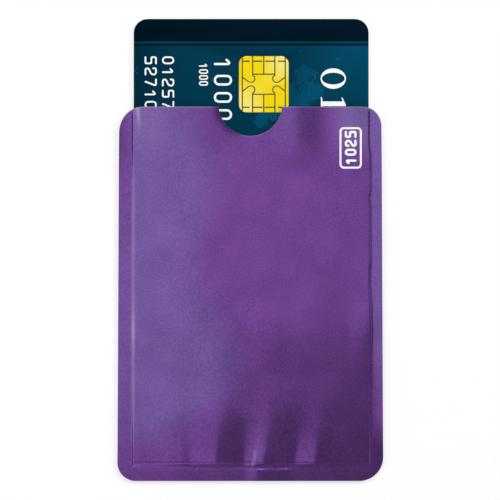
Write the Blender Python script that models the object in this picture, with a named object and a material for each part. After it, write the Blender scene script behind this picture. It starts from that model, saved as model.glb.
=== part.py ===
"""A sleeve that shields one payment card from radio readers, with its card part of the way out.

Two laminated walls are sealed together along three edges, and the card slides in through the fourth.
Lengths are in metres. +X is the sleeve's right, +Y its open end and +Z its front. The origin is the
middle of the sleeve, on the surface that its back lies on.
"""

import math

import bmesh
import bpy

mm = 0.001

# Card to the ID-1 format, laminated from five sheets
card_width = 53.98 * mm
card_length = 85.60 * mm
card_corner_radius = 3.18 * mm
overlay_thickness = 0.05 * mm
print_sheet_thickness = 0.16 * mm
inlay_thickness = 0.28 * mm
lamination_gap = 0.015 * mm
card_thickness = 2 * overlay_thickness + 2 * print_sheet_thickness + inlay_thickness + 4 * lamination_gap
card_out_of_mouth = 20.2 * mm

# Chip module with eight contacts, its middle measured from the card's leading end and right side
module_from_end = 15.0 * mm
module_from_side = 24.09 * mm
module_width = 11.4 * mm
module_length = 12.9 * mm
module_corner_radius = 1.75 * mm
module_side_gap = 0.06 * mm
module_bond_gap = 0.01 * mm
contact_thickness = 0.035 * mm
contact_groove = 0.22 * mm
rim_width = 0.76 * mm
inner_contact_width = 2.56 * mm
centre_pad_half_length = 2.3 * mm
tongue_radius = 0.8 * mm
tongue_centre_across = 2.95 * mm
tongue_centre_from_middle = 1.28 * mm
tongue_shoulder_from_middle = 1.7 * mm
tape_thickness = 0.11 * mm
adhesive_width = 1.6 * mm
die_width = 2.4 * mm
die_length = 2.2 * mm
die_thickness = 0.12 * mm
cap_side_gap = 0.6 * mm
cap_end_gap = 1.8 * mm
cap_corner_radius = 1.2 * mm
cap_depth = 0.26 * mm
die_clearance = 0.03 * mm

# Antenna wire, wound inwards round the edge of the inlay
antenna_turns = 4
wire_diameter = 0.08 * mm
antenna_pitch = 0.6 * mm
antenna_edge_inset = 2.4 * mm
antenna_corner_radius = 3.6 * mm
antenna_lead_spacing = 4.0 * mm
wire_floor_gap = 0.01 * mm
wire_crossing_gap = 0.02 * mm
trench_depth = 0.21 * mm
trench_margin = 0.5 * mm

# Stripe and signature panel, let into the card's back overlay
stripe_width = 12.7 * mm
stripe_from_side = 4.0 * mm
stripe_thickness = 0.02 * mm
signature_width = 10.0 * mm
signature_length = 58.0 * mm
signature_from_side = 20.5 * mm
signature_from_end = 9.0 * mm
signature_corner_radius = 0.6 * mm
signature_thickness = 0.015 * mm
inset_gap = 0.01 * mm

# Sleeve outline, punched through both walls
sleeve_length = 86.0 * mm
top_left_radius = 6.0 * mm
top_right_radius = 4.6 * mm
bottom_left_radius = 4.2 * mm
bottom_right_radius = 5.5 * mm
mouth_draw_in = 0.4 * mm
notch_radius = 7.3 * mm
notch_depth = 6.72 * mm

# Laminated wall, from the outside in, and the seals that join the two walls
skin_thickness = 0.10 * mm
foil_thickness = 0.03 * mm
liner_thickness = 0.05 * mm
laminate_gap = 0.02 * mm
seal_thickness = 0.04 * mm
left_seal_width = 3.15 * mm
right_seal_width = 2.75 * mm
bottom_seal_width = 3.0 * mm
seal_joint_gap = 0.02 * mm

# Pocket form: the steps beside the seals and at the foot
card_running_gap = 0.06 * mm
card_side_gap = 0.07 * mm
step_start = 0.05 * mm
step_run = 0.49 * mm
foot_run = 1.1 * mm

# Dome over the card: its ridge runs down the left side and wanders to the middle lower down
dome_height = 0.28 * mm
dome_fade_at_floor = 14 * mm
ridge_turn_start = 6 * mm
ridge_turn_length = 16 * mm
ridge_upper_share = 0.2
ridge_lower_share = 0.33

# Folds of the mouth, as shares of the pocket's width and of the folds' height
mouth_height = 0.45 * mm
mouth_length = 18.0 * mm
mouth_shares = (
    (0.000, 0.20),
    (0.120, 0.80),
    (0.260, 0.76),
    (0.390, 0.13),
    (0.440, 0.03),
    (0.500, 0.15),
    (0.568, 0.48),
    (0.682, 0.80),
    (0.800, 0.08),
    (0.840, 0.02),
    (1.000, 0.90),
)

# Short wedge at the mouth's left corner, where the seal begins to pull the wall down
corner_lift_height = 0.42 * mm
corner_lift_length = 5.8 * mm
corner_lift_reach = 5.0 * mm

# Pleats above the bottom seal: place at the seal, place where the pleat dissolves, and height
pleat_height = 0.5 * mm
pleat_length = 20.0 * mm
pleat_settle_length = 2.6 * mm
pleat_settle_share = 0.45
pleat_shares = (
    (0.000, 0.000, 0.25),
    (0.130, 0.130, 0.66),
    (0.228, 0.235, 0.42),
    (0.352, 0.470, 1.00),
    (0.470, 0.510, 0.10),
    (0.545, 0.640, 1.00),
    (0.683, 0.730, 0.12),
    (0.768, 0.820, 0.85),
    (0.815, 0.970, 0.32),
    (1.000, 1.000, 0.05),
)

# Curl of the side seals towards their cut edges, and droop of the bottom seal
left_curl = 0.22 * mm
left_curl_start = 16 * mm
left_curl_length = 20 * mm
right_curl = 0.16 * mm
right_curl_start = -36 * mm
right_curl_length = 24 * mm
bottom_droop = 0.03 * mm

# Fineness of the curves and grids, and the overrun of every cut
arc_steps = 6
corner_angles = (0, 15, 30, 45, 58)
notch_angles = (70, 55, 40, 26, 13)
left_field_steps = 7
right_field_steps = 6
pleat_rows = 6
flat_rows = 3
mouth_rows = 4
fade_factor = 2.2
cut_overrun = 0.5 * mm

# Places worked out from the sizes above
side_step_width = step_start + step_run + card_side_gap
sleeve_width = left_seal_width + side_step_width + card_width + side_step_width + right_seal_width
half_width = sleeve_width / 2
half_length = sleeve_length / 2
pocket_left = left_seal_width - half_width
pocket_right = half_width - right_seal_width
pocket_floor = bottom_seal_width - half_length
notch_centre_above_edge = notch_radius - notch_depth
notch_half_width = math.sqrt(notch_radius**2 - notch_centre_above_edge**2)
wall_thickness = skin_thickness + foil_thickness + liner_thickness + 2 * laminate_gap
card_bottom = wall_thickness + card_running_gap
card_top = card_bottom + card_thickness
card_middle = card_bottom + card_thickness / 2
front_wall_bottom = card_top + card_running_gap
seal_step = front_wall_bottom - card_middle - seal_thickness / 2 - laminate_gap
card_centre_x = (pocket_left + pocket_right) / 2
card_centre_y = half_length + card_out_of_mouth - card_length / 2


def clear_scene():
    for item in list(bpy.data.objects):
        bpy.data.objects.remove(item)


def new_collection(name):
    made = bpy.data.collections.new(name)
    bpy.context.scene.collection.children.link(made)
    return made


def new_material(name, colour, roughness, metallic):
    made = bpy.data.materials.new(name)
    made.use_nodes = True
    shader = made.node_tree.nodes["Principled BSDF"]
    shader.inputs["Base Color"].default_value = (*colour, 1)
    shader.inputs["Roughness"].default_value = roughness
    shader.inputs["Metallic"].default_value = metallic
    return made


clear_scene()
parts = new_collection("rfid_card_sleeve")
cutters = new_collection("cutters")

purple_skin = new_material("purple_metallic_paper", (0.17, 0.06, 0.27), 0.42, 0.85)
bright_foil = new_material("aluminium_foil", (0.86, 0.86, 0.87), 0.25, 1.0)
grey_liner = new_material("sealing_film", (0.62, 0.62, 0.64), 0.45, 0.3)
seal_film = new_material("fused_sealing_film", (0.55, 0.55, 0.57), 0.5, 0.0)
clear_pvc = new_material("clear_pvc_overlay", (0.0, 0.07, 0.11), 0.2, 0.0)
printed_pvc = new_material("printed_pvc", (0.0, 0.06, 0.1), 0.35, 0.0)
white_pvc = new_material("white_pvc", (0.85, 0.85, 0.85), 0.4, 0.0)
gold = new_material("gold_plated_copper", (0.9, 0.66, 0.12), 0.25, 1.0)
glass_epoxy = new_material("glass_epoxy_tape", (0.35, 0.3, 0.12), 0.5, 0.0)
adhesive = new_material("hot_melt_adhesive", (0.75, 0.7, 0.6), 0.5, 0.0)
silicon = new_material("silicon", (0.2, 0.21, 0.24), 0.2, 0.6)
black_resin = new_material("black_resin", (0.02, 0.02, 0.02), 0.4, 0.0)
copper = new_material("enamelled_copper", (0.72, 0.32, 0.15), 0.3, 1.0)
magnetic_tape = new_material("magnetic_tape", (0.02, 0.018, 0.016), 0.3, 0.0)
signature_ink = new_material("signature_panel", (0.9, 0.9, 0.88), 0.7, 0.0)


def new_frame(name, location):
    """An empty that carries one body of the object."""
    made = bpy.data.objects.new(name, None)
    made.location = location
    parts.objects.link(made)
    return made


sleeve = new_frame("sleeve", (0, 0, 0))
card = new_frame("card", (card_centre_x, card_centre_y, card_bottom))


def new_part(name, data, carrier, finish, place=(0, 0, 0), collection=parts):
    made = bpy.data.objects.new(name, data)
    data.materials.append(finish)
    collection.objects.link(made)
    made.parent = carrier
    made.location = place
    return made


def as_mesh(curve_object):
    """The same object as a mesh with its caps welded on, ready to be cut or to cut."""
    bpy.context.view_layer.update()
    graph = bpy.context.evaluated_depsgraph_get()
    mesh = bpy.data.meshes.new_from_object(curve_object.evaluated_get(graph))
    bm = bmesh.new()
    bm.from_mesh(mesh)
    bmesh.ops.remove_doubles(bm, verts=bm.verts[:], dist=inset_gap / 10)
    bmesh.ops.recalc_face_normals(bm, faces=bm.faces[:])
    bm.to_mesh(mesh)
    bm.free()
    name = curve_object.name
    made = bpy.data.objects.new(name, mesh)
    for collection in curve_object.users_collection:
        collection.objects.link(made)
    made.parent = curve_object.parent
    made.matrix_world = curve_object.matrix_world.copy()
    bpy.data.objects.remove(curve_object)
    made.name = name
    return made


def cut(target, cutter):
    """Takes the cutter's shape out of the target, and keeps the cutter as a hidden guide."""
    cutter.hide_render = True
    cutter.display_type = "WIRE"
    modifier = target.modifiers.new(cutter.name, "BOOLEAN")
    modifier.operation = "DIFFERENCE"
    modifier.object = cutter


def arc(centre, radius, start, end, steps=arc_steps):
    """Points along a circle between two angles in degrees, both ends included."""
    angles = [math.radians(start + (end - start) * step / steps) for step in range(steps + 1)]
    return [(centre[0] + radius * math.cos(a), centre[1] + radius * math.sin(a)) for a in angles]


def rounded_rectangle(centre, width, length, radius):
    """Outline that runs anticlockwise, with a quarter circle at each corner."""
    x, y = centre
    across, along = width / 2 - radius, length / 2 - radius
    corners = ((across, along, 0), (-across, along, 90), (-across, -along, 180), (across, -along, 270))
    points = []
    for corner_x, corner_y, start in corners:
        points += arc((x + corner_x, y + corner_y), radius, start, start + 90)
    return points


def flat_piece(name, outlines, bottom, thickness, carrier, finish, collection=parts):
    """A flat sheet of even thickness from its outline, with any further outlines as windows in it."""
    curve = bpy.data.curves.new(name, "CURVE")
    curve.dimensions = "2D"
    curve.fill_mode = "BOTH"
    curve.extrude = thickness / 2
    for outline in outlines:
        spline = curve.splines.new("POLY")
        spline.points.add(len(outline) - 1)
        for point, (x, y) in zip(spline.points, outline):
            point.co = (x, y, 0, 1)
        spline.use_cyclic_u = True
    return new_part(name, curve, carrier, finish, (0, 0, bottom + thickness / 2), collection)


def pull_in(edge_distance, radius):
    """How far a rounded corner has pulled the end edge in, this far from the side edge."""
    if edge_distance >= radius:
        return 0
    return radius - math.sqrt(radius**2 - (radius - edge_distance) ** 2)


def notch_drop(x):
    if abs(x) >= notch_half_width:
        return 0
    return math.sqrt(notch_radius**2 - x**2) - notch_centre_above_edge


def fit_to_outline(x, y):
    """Moves a point of the plain rectangle so that the outer rows follow the corners and the notch."""
    from_left, from_right = x + half_width, half_width - x
    from_bottom, from_top = y + half_length, half_length - y
    rise = pull_in(from_left, bottom_left_radius) + pull_in(from_right, bottom_right_radius)
    drop = pull_in(from_left, top_left_radius) + pull_in(from_right, top_right_radius) + notch_drop(x)
    rise_share = max(0, 1 - from_bottom / max(bottom_seal_width, fade_factor * rise))
    drop_share = max(0, 1 - from_top / max(notch_depth, fade_factor * drop))
    lean_share = from_bottom / sleeve_length
    if x < pocket_left:
        x += mouth_draw_in * lean_share * (pocket_left - x) / left_seal_width
    elif x > pocket_right:
        x -= mouth_draw_in * lean_share * (x - pocket_right) / right_seal_width
    return x, y + rise * rise_share - drop * drop_share


def ease(share):
    """A smooth rise from 0 to 1."""
    share = min(max(share, 0), 1)
    return share * share * (3 - 2 * share)


def pocket_share(x, y):
    """0 on the seals and 1 inside the pocket, with a straight step that clears the card's edge."""
    from_side = (min(x - pocket_left, pocket_right - x) - step_start) / step_run
    from_floor = (y - pocket_floor - step_start) / foot_run
    return min(max(min(from_side, from_floor), 0), 1)


def folded(share, places, heights):
    """A zigzag of straight folds through the places and heights."""
    for left, right, low, high in zip(places, places[1:], heights, heights[1:]):
        if share <= right:
            return low + (high - low) * (share - left) / (right - left)
    return heights[-1]


def dome(across, y):
    """Folded over its ridge, lower near the mouth, and gone at the floor."""
    low_share = ease((ridge_turn_start - y) / ridge_turn_length)
    ridge = ridge_upper_share + (ridge_lower_share - ridge_upper_share) * low_share
    places = (0, ridge, ridge + 0.22, 0.86, 1)
    heights = (0.05, 1, 0.22, 0.02 + 0.08 * low_share, 0.15 * (1 - low_share))
    from_mouth = 1 - 0.45 * ease((y - 5 * mm) / (30 * mm))
    return folded(across, places, heights) * from_mouth * ease((y - pocket_floor) / dome_fade_at_floor)


def mouth_lift(across, y):
    places, heights = zip(*mouth_shares)
    return folded(across, places, heights) * ease(1.6 * (1 - (half_length - y) / mouth_length))


def corner_lift(x, y):
    """Highest beside the left seal at the mouth, less to the right of it and further down."""
    share = max(0, 1 - (half_length - y) / corner_lift_length)
    return corner_lift_height * share * math.exp((pocket_left - x) / corner_lift_reach)


def pleats(across, y):
    """Each pleat leans from its place at the seal towards the place where it dissolves."""
    up = min(max((y - pocket_floor) / pleat_length, 0), 1)
    places = [low + (high - low) * up for low, high, height in pleat_shares]
    heights = [height for low, high, height in pleat_shares]
    settled = pleat_settle_share + (1 - pleat_settle_share) * ease((y - pocket_floor) / pleat_settle_length)
    return folded(across, places, heights) * ease(1.35 * (1 - up)) * settled


def edge_curl(x, y):
    """Lift of the fused edges, shared by both walls and the seals between them."""
    left = min(max((pocket_left - x) / left_seal_width, 0), 1) ** 1.5
    right = min(max((x - pocket_right) / right_seal_width, 0), 1) ** 1.5
    low = min(max((pocket_floor - y) / bottom_seal_width, 0), 1) ** 1.5
    left *= ease((y - left_curl_start) / left_curl_length)
    right *= ease((y - right_curl_start) / right_curl_length)
    return left_curl * left + right_curl * right - bottom_droop * low


def front_form(x, y):
    """Height of the front wall above its lowest place over the card."""
    inside = pocket_share(x, y)
    across = min(max((x - pocket_left) / (pocket_right - pocket_left), 0), 1)
    pocket = dome_height * dome(across, y) + mouth_height * mouth_lift(across, y)
    pocket += pleat_height * pleats(across, y) + corner_lift(x, y)
    return inside * pocket + (1 - inside) * (edge_curl(x, y) - seal_step)


def back_form(x, y):
    """Height of the back wall above the surface it lies on: flat, but lifted to the seals."""
    return (seal_step + edge_curl(x, y)) * (1 - pocket_share(x, y))


def seal_form(x, y):
    return edge_curl(x, y)


def spread(start, end, count):
    """Evenly spaced values after the start, up to and including the end."""
    return [start + (end - start) * step / count for step in range(1, count + 1)]


def edge_columns(seal_width):
    """Distances from a side edge that follow the corner's arc, short of the seal's inner edge."""
    mean_radius = (top_left_radius + top_right_radius + bottom_left_radius + bottom_right_radius) / 4
    offsets = [mean_radius * (1 - math.cos(math.radians(angle))) for angle in corner_angles]
    return [offset for offset in offsets if offset < seal_width - step_start]


def wall_columns(left_steps, right_steps):
    """X of each column of a wall's grid: seals, steps, and closer columns round the notch."""
    left_step = pocket_left + step_start
    right_step = pocket_right - step_start
    notch = [notch_radius * math.sin(math.radians(angle)) for angle in notch_angles]
    left = [offset - half_width for offset in edge_columns(left_seal_width)] + [left_step]
    right = [half_width - offset for offset in edge_columns(right_seal_width)] + [right_step]
    left += [left_step + step_run] + spread(left_step + step_run, -notch_half_width, left_steps)
    right += [right_step - step_run] + spread(right_step - step_run, notch_half_width, right_steps)
    return left + [-x for x in notch] + [0] + notch[::-1] + right[::-1]


def wall_rows():
    """Y of each row of a sheet's grid: the bottom seal, its step, the pleats, the flat and the mouth."""
    foot = pocket_floor + step_start
    pleat_end = pocket_floor + pleat_length
    mouth = half_length - fade_factor * notch_depth
    rows = [-half_length, foot, foot + foot_run]
    rows += spread(foot + foot_run, pleat_end, pleat_rows)
    rows += spread(pleat_end, mouth, flat_rows)
    return rows + spread(mouth, half_length, mouth_rows)


def pressed_sheet(name, columns, rows, bottom, thickness, form, finish):
    """A sheet inside the punched outline: a flat grid, thickened, then pressed to the form."""
    across, along = len(columns) - 1, len(rows) - 1
    bm = bmesh.new()
    bmesh.ops.create_grid(bm, x_segments=across, y_segments=along, size=1)
    for vert in bm.verts:
        column = round((vert.co.x + 1) / 2 * across)
        row = round((vert.co.y + 1) / 2 * along)
        vert.co.x, vert.co.y = fit_to_outline(columns[column], rows[row])
    bmesh.ops.triangulate(bm, faces=bm.faces[:], quad_method="FIXED")
    raised = bmesh.ops.extrude_face_region(bm, geom=bm.faces[:])["geom"]
    raised_verts = [item for item in raised if isinstance(item, bmesh.types.BMVert)]
    bmesh.ops.translate(bm, verts=raised_verts, vec=(0, 0, thickness))
    for vert in bm.verts:
        vert.co.z += bottom + form(vert.co.x, vert.co.y)
    bmesh.ops.recalc_face_normals(bm, faces=bm.faces[:])
    mesh = bpy.data.meshes.new(name)
    bm.to_mesh(mesh)
    bm.free()
    return new_part(name, mesh, sleeve, finish)


def build_walls():
    """Skin, foil and liner of each wall, stacked with the thickness of their adhesive between them."""
    front_columns = wall_columns(left_field_steps, right_field_steps)
    back_columns = wall_columns(1, 1)
    rows = wall_rows()
    foil_from_skin = skin_thickness + laminate_gap
    liner_from_skin = foil_from_skin + foil_thickness + laminate_gap
    skin_from_liner = wall_thickness - skin_thickness
    foil_from_liner = liner_thickness + laminate_gap
    back_layers = (
        ("back_outer_skin", 0, skin_thickness, purple_skin),
        ("back_foil_shield", foil_from_skin, foil_thickness, bright_foil),
        ("back_sealing_liner", liner_from_skin, liner_thickness, grey_liner),
    )
    front_layers = (
        ("front_sealing_liner", 0, liner_thickness, grey_liner),
        ("front_foil_shield", foil_from_liner, foil_thickness, bright_foil),
        ("front_outer_skin", skin_from_liner, skin_thickness, purple_skin),
    )
    for name, height, thickness, finish in back_layers:
        pressed_sheet(name, back_columns, rows, height, thickness, back_form, finish)
    for name, height, thickness, finish in front_layers:
        bottom = front_wall_bottom + height
        pressed_sheet(name, front_columns, rows, bottom, thickness, front_form, finish)


def build_seals():
    """The fused film between the walls: two side seals, and the bottom seal between them."""
    bottom = card_middle - seal_thickness / 2
    side_rows = wall_rows()
    left = [offset - half_width for offset in edge_columns(left_seal_width)] + [pocket_left]
    right = [pocket_right] + [half_width - offset for offset in edge_columns(right_seal_width)[::-1]]
    between = [pocket_left + seal_joint_gap]
    between += spread(between[0], pocket_right - seal_joint_gap, arc_steps)
    pressed_sheet("left_side_seal", left, side_rows, bottom, seal_thickness, seal_form, seal_film)
    pressed_sheet("right_side_seal", right, side_rows, bottom, seal_thickness, seal_form, seal_film)
    floor_rows = [-half_length, pocket_floor]
    pressed_sheet("bottom_seal", between, floor_rows, bottom, seal_thickness, seal_form, seal_film)


# Heights of the card's sheets above its back face
back_print_bottom = overlay_thickness + lamination_gap
inlay_bottom = back_print_bottom + print_sheet_thickness + lamination_gap
inlay_top = inlay_bottom + inlay_thickness
front_print_bottom = inlay_top + lamination_gap
front_overlay_bottom = card_thickness - overlay_thickness
contact_bottom = card_thickness - contact_thickness
tape_bottom = contact_bottom - module_bond_gap - tape_thickness
ledge_height = inlay_top + module_bond_gap
module_centre = (card_width / 2 - module_from_side, card_length / 2 - module_from_end)
cap_width = module_width - 2 * (adhesive_width + cap_side_gap)
cap_length = module_length - 2 * (adhesive_width + cap_end_gap)


def card_outline():
    return rounded_rectangle((0, 0), card_width, card_length, card_corner_radius)


def module_outline(growth):
    """The chip module's outline, let out all round by the growth."""
    width, length = module_width + 2 * growth, module_length + 2 * growth
    return rounded_rectangle(module_centre, width, length, module_corner_radius + growth)


def cap_outline(growth):
    width, length = cap_width + 2 * growth, cap_length + 2 * growth
    return rounded_rectangle(module_centre, width, length, cap_corner_radius + growth)


def build_card_front():
    """Overlay and printed sheet, both milled through for the chip module."""
    outlines = [card_outline(), module_outline(module_side_gap)]
    flat_piece("card_front_overlay", outlines, front_overlay_bottom, overlay_thickness, card, clear_pvc)
    flat_piece(
        "card_front_print_sheet", outlines, front_print_bottom, print_sheet_thickness, card, printed_pvc
    )


def build_inlay():
    """Core sheet with the antenna's trench round it, a trench for its two leads, and the chip's window."""
    outlines = [card_outline(), cap_outline(module_side_gap)]
    inlay = as_mesh(flat_piece("antenna_inlay", outlines, inlay_bottom, inlay_thickness, card, white_pvc))
    floor = inlay_top - trench_depth
    height = trench_depth + cut_overrun
    inset = antenna_edge_inset - trench_margin
    ring_width = antenna_turns * antenna_pitch + 2 * trench_margin
    outer = rounded_rectangle(
        (0, 0), card_width - 2 * inset, card_length - 2 * inset, antenna_corner_radius + trench_margin
    )
    inner_inset = inset + ring_width
    inner = rounded_rectangle(
        (0, 0), card_width - 2 * inner_inset, card_length - 2 * inner_inset, antenna_corner_radius / 2
    )
    ring = flat_piece("antenna_trench_cutter", [outer, inner], floor, height, card, white_pvc, cutters)
    cut(inlay, as_mesh(ring))
    lead_width = antenna_lead_spacing + 2 * trench_margin
    lead_top = card_length / 2 - inset - ring_width / 2
    lead_bottom = module_centre[1] + cap_length / 2
    lead_centre = (module_centre[0], (lead_top + lead_bottom) / 2)
    lead = rounded_rectangle(lead_centre, lead_width, lead_top - lead_bottom, trench_margin)
    leads = flat_piece("lead_trench_cutter", [lead], floor, height, card, white_pvc, cutters)
    cut(inlay, as_mesh(leads))


def antenna_route():
    """The wire's line: up one lead, over the turns, round and inwards, and back down the other lead."""
    low = inlay_top - trench_depth + wire_floor_gap + wire_diameter / 2
    high = low + wire_diameter + wire_crossing_gap
    lead_x = antenna_lead_spacing / 2
    lead_end = module_centre[1] + cap_length / 2 + trench_margin
    top = card_length / 2 - antenna_edge_inset
    first_x = module_centre[0] + lead_x
    last_x = module_centre[0] - lead_x
    bend = antenna_corner_radius / 4
    route = [(first_x, lead_end, high), (first_x, top - bend, high), (first_x + bend, top, high)]
    route.append((first_x + antenna_corner_radius, top, low))
    signs = ((1, 1, 90), (1, -1, 0), (-1, -1, -90), (-1, 1, 180))
    for corner in range(4 * antenna_turns):
        inset = antenna_edge_inset + antenna_pitch * corner / 4
        next_inset = inset + antenna_pitch / 4
        radius = antenna_corner_radius - antenna_pitch * corner / 4
        sign_x, sign_y, start = signs[corner % 4]
        inset_x, inset_y = (next_inset, inset) if corner % 2 == 0 else (inset, next_inset)
        centre = (
            sign_x * (card_width / 2 - inset_x - radius),
            sign_y * (card_length / 2 - inset_y - radius),
        )
        route += [(x, y, low) for x, y in arc(centre, radius, start, start - 90, 3)]
    last_top = top - antenna_pitch * antenna_turns
    route += [(last_x - bend, last_top, low), (last_x, last_top - bend, low), (last_x, lead_end, low)]
    return route


def build_antenna():
    curve = bpy.data.curves.new("antenna_coil", "CURVE")
    curve.dimensions = "3D"
    curve.bevel_depth = wire_diameter / 2
    curve.bevel_resolution = 1
    curve.use_fill_caps = True
    route = antenna_route()
    spline = curve.splines.new("POLY")
    spline.points.add(len(route) - 1)
    for point, place in zip(spline.points, route):
        point.co = (*place, 1)
    new_part("antenna_coil", curve, card, copper)


def build_card_back():
    """Printed sheet and overlay, with the stripe and the signature panel let into the overlay."""
    plain = [card_outline()]
    flat_piece("card_back_print_sheet", plain, back_print_bottom, print_sheet_thickness, card, printed_pvc)
    overlay = as_mesh(flat_piece("card_back_overlay", plain, 0, overlay_thickness, card, clear_pvc))
    stripe_x = card_width / 2 - stripe_from_side - stripe_width / 2
    signature_centre = (
        card_width / 2 - signature_from_side - signature_width / 2,
        card_length / 2 - signature_from_end - signature_length / 2,
    )
    stripe = rounded_rectangle((stripe_x, 0), stripe_width, card_length, inset_gap)
    stripe_space = rounded_rectangle(
        (stripe_x, 0), stripe_width + 2 * inset_gap, card_length + 2 * cut_overrun, inset_gap
    )
    signature = rounded_rectangle(
        signature_centre, signature_width, signature_length, signature_corner_radius
    )
    signature_space = rounded_rectangle(
        signature_centre,
        signature_width + 2 * inset_gap,
        signature_length + 2 * inset_gap,
        signature_corner_radius + inset_gap,
    )
    insets = (
        ("magnetic_stripe", stripe, stripe_space, stripe_thickness, magnetic_tape),
        ("signature_panel", signature, signature_space, signature_thickness, signature_ink),
    )
    for name, outline, space, thickness, finish in insets:
        flat_piece(name, [outline], 0, thickness, card, finish)
        depth = thickness + inset_gap
        cutter = flat_piece(
            name + "_cutter", [space], -cut_overrun, depth + cut_overrun, card, finish, cutters
        )
        cut(overlay, as_mesh(cutter))


def mirrored(outline, x_sign, y_sign):
    """The outline turned over about the module's middle lines, and moved to the module's place."""
    x, y = module_centre
    return [(x + x_sign * across, y + y_sign * along) for across, along in outline]


def tongue_touch(outer_x):
    """Tongue's middle, and the angle at which the line from the shoulder touches the tongue."""
    tongue = (tongue_centre_across, tongue_centre_from_middle)
    away = (outer_x - tongue[0], tongue_shoulder_from_middle - tongue[1])
    touch = math.degrees(math.atan2(away[1], away[0]) - math.acos(tongue_radius / math.hypot(*away)))
    return tongue, touch


def outer_contact():
    """Right upper outer contact, from the module's middle: a strip that ends in a round tongue."""
    half_groove = contact_groove / 2
    inner_x = inner_contact_width + half_groove
    outer_x = module_width / 2 - rim_width - half_groove
    end = module_length / 2
    corner = (module_width / 2 - module_corner_radius, end - module_corner_radius)
    corner_angle = math.degrees(math.acos(min(1, (outer_x - corner[0]) / module_corner_radius)))
    tongue, touch = tongue_touch(outer_x)
    start = math.degrees(math.acos((inner_x - tongue[0]) / tongue_radius))
    points = [(inner_x, end)]
    points += arc(tongue, tongue_radius, start, 360 + touch)
    points.append((outer_x, tongue_shoulder_from_middle))
    return points + arc(corner, module_corner_radius, corner_angle, 90)


def inner_contact():
    """Right upper inner contact, a plain rectangle."""
    half_groove = contact_groove / 2
    left, right = half_groove, inner_contact_width - half_groove
    low, high = centre_pad_half_length + half_groove, module_length / 2
    return [(left, low), (right, low), (right, high), (left, high)]


def centre_pad():
    """Ground pad: a block with a waisted ear to each side, one groove away from its neighbours."""
    half_groove = contact_groove / 2
    block_y = centre_pad_half_length - half_groove
    outer_x = module_width / 2 - rim_width - half_groove
    tongue, touch = tongue_touch(outer_x)
    hollow_radius = tongue_radius + contact_groove
    start = 180 - math.degrees(math.asin((block_y - tongue[1]) / hollow_radius))
    hollow = arc(tongue, hollow_radius, start, 360 + touch)
    slope = math.tan(math.radians(touch + 90))
    ear_y = hollow[-1][1] + (outer_x - hollow[-1][0]) * slope
    quarter = hollow + [(outer_x, ear_y)]
    right = quarter + [(x, -y) for x, y in quarter[::-1]]
    return right + [(-x, y) for x, y in right[::-1]]


def rim_strip():
    """Right rim of the contact plate, which rounds off into the module's corners."""
    inner_x = module_width / 2 - rim_width + contact_groove / 2
    corner = (module_width / 2 - module_corner_radius, module_length / 2 - module_corner_radius)
    corner_angle = math.degrees(math.acos(min(1, (inner_x - corner[0]) / module_corner_radius)))
    upper = arc(corner, module_corner_radius, 0, corner_angle)
    return upper + [(x, -y) for x, y in upper[::-1]]


def build_contacts():
    """Eight contacts in two rows of four, the ground pad between them, and a rim at each side."""
    pads = []
    rows = (("c1", "c2", "c3", "c4", 1), ("c5", "c6", "c7", "c8", -1))
    for right_outer, right_inner, left_inner, left_outer, up in rows:
        pads.append(("contact_" + right_outer, mirrored(outer_contact(), 1, up)))
        pads.append(("contact_" + right_inner, mirrored(inner_contact(), 1, up)))
        pads.append(("contact_" + left_inner, mirrored(inner_contact(), -1, up)))
        pads.append(("contact_" + left_outer, mirrored(outer_contact(), -1, up)))
    pads.append(("contact_ground_pad", mirrored(centre_pad(), 1, 1)))
    pads.append(("contact_rim_right", mirrored(rim_strip(), 1, 1)))
    pads.append(("contact_rim_left", mirrored(rim_strip(), -1, 1)))
    for name, outline in pads:
        flat_piece(name, [outline], contact_bottom, contact_thickness, card, gold)


def build_module():
    """Tape under the contacts, the adhesive ring it sits on, the die and its resin cap."""
    flat_piece("module_tape", [module_outline(0)], tape_bottom, tape_thickness, card, glass_epoxy)
    ring_inner = rounded_rectangle(
        module_centre,
        module_width - 2 * adhesive_width,
        module_length - 2 * adhesive_width,
        module_corner_radius / 2,
    )
    ring_thickness = tape_bottom - module_bond_gap - ledge_height
    ring = [module_outline(0), ring_inner]
    flat_piece("module_adhesive_ring", ring, ledge_height, ring_thickness, card, adhesive)
    die_top = tape_bottom - module_bond_gap
    die = rounded_rectangle(module_centre, die_width, die_length, die_clearance)
    flat_piece("chip_die", [die], die_top - die_thickness, die_thickness, card, silicon)
    cap = as_mesh(
        flat_piece("chip_resin_cap", [cap_outline(0)], die_top - cap_depth, cap_depth, card, black_resin)
    )
    die_space = rounded_rectangle(
        module_centre, die_width + 2 * die_clearance, die_length + 2 * die_clearance, 2 * die_clearance
    )
    hollow_depth = die_thickness + module_bond_gap
    hollow = flat_piece(
        "die_cutter",
        [die_space],
        die_top - hollow_depth,
        hollow_depth + cut_overrun,
        card,
        black_resin,
        cutters,
    )
    cut(cap, as_mesh(hollow))


build_walls()
build_seals()
build_card_back()
build_inlay()
build_antenna()
build_card_front()
build_module()
build_contacts()
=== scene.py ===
# %% [markdown]
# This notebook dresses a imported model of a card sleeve: a flat pouch of metallised paper that shields the
# chip card inside it. Two laminated walls, three seals and a card with its chip and antenna each get the
# surface of the real thing, in the same place and at the same size, on a table in soft light.

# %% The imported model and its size
import math

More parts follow.
